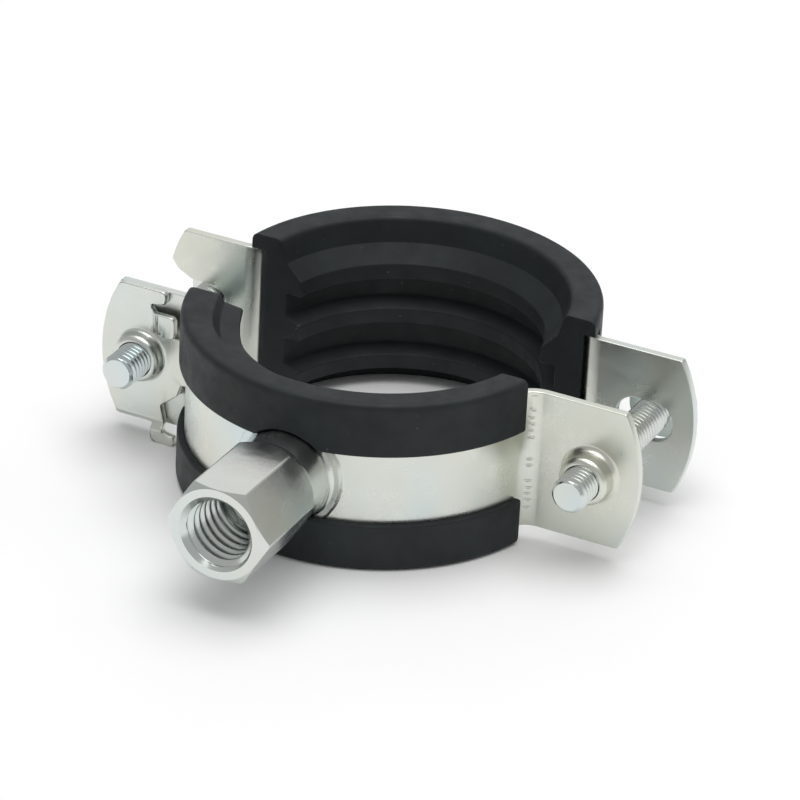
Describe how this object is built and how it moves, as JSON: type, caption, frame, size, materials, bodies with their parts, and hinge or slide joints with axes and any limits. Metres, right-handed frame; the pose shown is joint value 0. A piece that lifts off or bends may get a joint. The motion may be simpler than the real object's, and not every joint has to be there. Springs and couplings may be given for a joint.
{
  "type": "rubber lined pipe clamp",
  "caption": "Two-part steel pipe clamp with rubber lining, clamping screws, a quick-lock nut plate and a hexagonal connecting nut for a threaded rod.",
  "frame": {"origin": "on the pipe axis of the front half, at mid width of the steel strip", "axes": "+Z along the pipe axis, -Y out of the connecting nut towards the rod, +X towards the ear with the drawn collar"},
  "size_m": [0.0804, 0.0809, 0.0246],
  "materials": {
    "zinc_steel": "bright zinc plated strip, satin",
    "zinc_plate": "zinc plated pressed sheet, satin with a faint yellow cast",
    "zinc_nut": "zinc plated turned and drawn hexagon",
    "zinc_screw": "zinc plated rolled thread",
    "lining_rubber": "matt black extruded rubber profile"
  },
  "bodies": {
    "front_half": {"front_band": "zinc_steel", "front_lining": "lining_rubber", "connecting_nut": "zinc_nut"},
    "back_half": {"back_band": "zinc_steel", "back_lining": "lining_rubber"},
    "right_screw": {"right_screw": "zinc_screw"},
    "quick_lock": {"lock_plate": "zinc_plate"},
    "left_screw": {"left_screw": "zinc_screw"}
  },
  "joints": [
    {"name": "closing", "type": "slide", "parent": "front_half", "child": "back_half", "axis": [0, 1, 0], "range_m": [-0.012, 0]},
    {"name": "right_screw_turn", "type": "hinge", "parent": "back_half", "child": "right_screw", "pos_m": [0.0344, 0, 0], "axis": [0, 1, 0], "range_deg": [-5400, 0]},
    {"name": "quick_lock_swing", "type": "hinge", "parent": "front_half", "child": "quick_lock", "pos_m": [-0.0244, -0.0052, 0], "axis": [0, 0, 1], "range_deg": [0, 24]},
    {"name": "left_screw_feed", "type": "slide", "parent": "quick_lock", "child": "left_screw", "axis": [0, 1, 0], "range_m": [0, 0.0045]}
  ],
  "couplings": [
    {"joint": "right_screw_turn", "follows": "closing", "rad_per_m": 7853.9}
  ]
}
